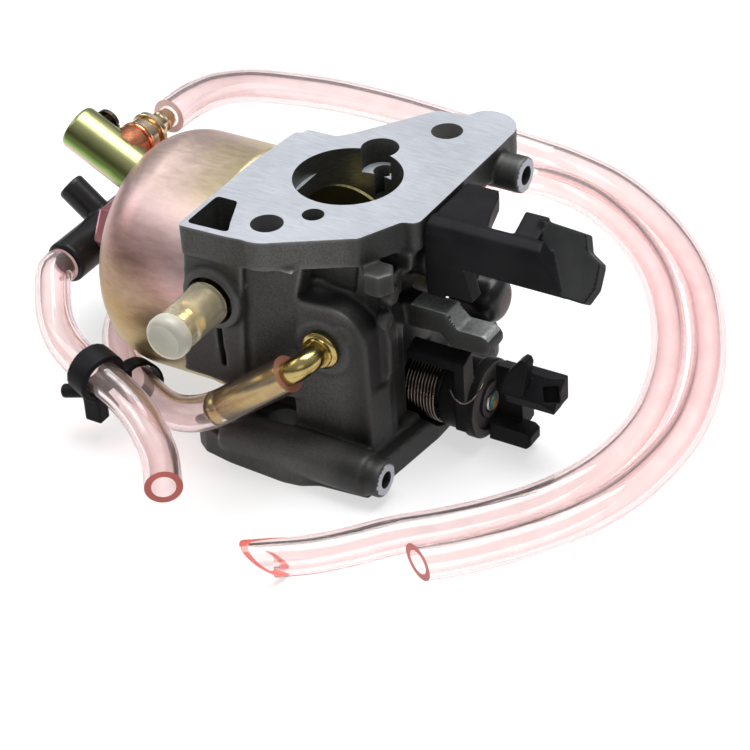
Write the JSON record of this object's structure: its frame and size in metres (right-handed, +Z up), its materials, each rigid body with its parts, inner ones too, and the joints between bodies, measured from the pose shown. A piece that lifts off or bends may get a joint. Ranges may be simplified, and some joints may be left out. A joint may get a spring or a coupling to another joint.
{
  "type": "carburetor",
  "caption": "Float-bowl carburetor with horizontal choke and throttle shafts, black levers, brass fittings and clear fuel, vent and drain hoses.",
  "frame": {"origin": "centre of the base of the carburetor without its free hoses, on the engine flange's plane", "axes": "+Z up along the intake bore, +X from the float bowl towards the control levers, -Y towards the fuel inlet"},
  "size_m": [0.1485, 0.164, 0.0556],
  "materials": {
    "cast_aluminium": "matte die-cast skin with machined faces",
    "yellow_zinc": "iridescent yellow zinc plating",
    "green_zinc": "green-gold zinc plating",
    "plain_steel": "bright drawn steel",
    "brass": "bright turned brass",
    "copper": "copper sealing washer",
    "black_plastic": "satin black nylon",
    "black_rubber": "matte black rubber",
    "float_plastic": "black foam plastic",
    "clear_cap": "milky translucent vinyl",
    "clear_hose": "transparent pink-white vinyl tube"
  },
  "bodies": {
    "casting": {"carburetor_body": "cast_aluminium", "float_bowl": "yellow_zinc", "bowl_gasket": "black_rubber", "bowl_bolt": "yellow_zinc", "bowl_bolt_washer": "copper", "float_pin": "plain_steel", "needle_seat": "brass", "main_jet": "brass", "emulsion_tube": "brass", "pilot_jet": "brass", "pilot_screw_spring": "plain_steel", "drain_turret": "green_zinc", "drain_washer": "copper", "drain_barb": "brass", "vent_tee": "black_rubber", "overflow_pipe": "brass", "fuel_inlet_elbow": "brass", "vent_nipple": "brass", "nipple_cap": "clear_cap", "vacuum_nipple": "brass", "vacuum_cap": "black_rubber", "choke_shaft_seal": "black_rubber", "throttle_return_spring": "plain_steel", "drain_hose": "clear_hose", "fuel_hose": "clear_hose", "vent_hose": "clear_hose", "hose_clip": "black_plastic"},
    "choke": {"choke_shaft": "brass", "choke_plate": "brass", "choke_screw_1": "brass", "choke_screw_2": "brass", "choke_lever": "black_plastic"},
    "throttle": {"throttle_shaft": "plain_steel", "throttle_plate": "brass", "throttle_screw_1": "brass", "throttle_screw_2": "brass", "throttle_lever": "black_plastic", "throttle_fork": "black_plastic"},
    "float_arm": {"float": "float_plastic"},
    "needle": {"inlet_needle": "plain_steel"},
    "drain_valve": {"drain_screw": "yellow_zinc"},
    "idle_mixture": {"pilot_screw": "brass"}
  },
  "joints": [
    {"name": "choke_turn", "type": "hinge", "parent": "casting", "child": "choke", "pos_m": [0.00967, 0.00543, 0.0405], "axis": [-1, 0, 0], "range_deg": [0, 75]},
    {"name": "throttle_turn", "type": "hinge", "parent": "casting", "child": "throttle", "pos_m": [0.00967, 0.00543, 0.0096], "axis": [-1, 0, 0], "range_deg": [0, 75], "stiffness_Nm_per_rad": 0.005, "springref_deg": -57.3, "deforming": ["throttle_return_spring"]},
    {"name": "float_swing", "type": "hinge", "parent": "casting", "child": "float_arm", "pos_m": [-0.01683, -0.01007, 0.026], "axis": [0, 0, 1], "range_deg": [0, 10]},
    {"name": "needle_slide", "type": "slide", "parent": "casting", "child": "needle", "axis": [-1, 0, 0], "range_m": [0, 0.0012]},
    {"name": "drain_screw_turn", "type": "hinge", "parent": "casting", "child": "drain_valve", "pos_m": [-0.05379, 0.00543, 0.04715], "axis": [0, 1, 0], "range_deg": [0, 540]},
    {"name": "mixture_turn", "type": "hinge", "parent": "casting", "child": "idle_mixture", "pos_m": [0.00967, 0.01723, 0.015], "axis": [0, 1, 0], "range_deg": [0, 540]}
  ],
  "couplings": [
    {"joint": "needle_slide", "follows": "float_swing", "m_per_rad": 0.006}
  ]
}
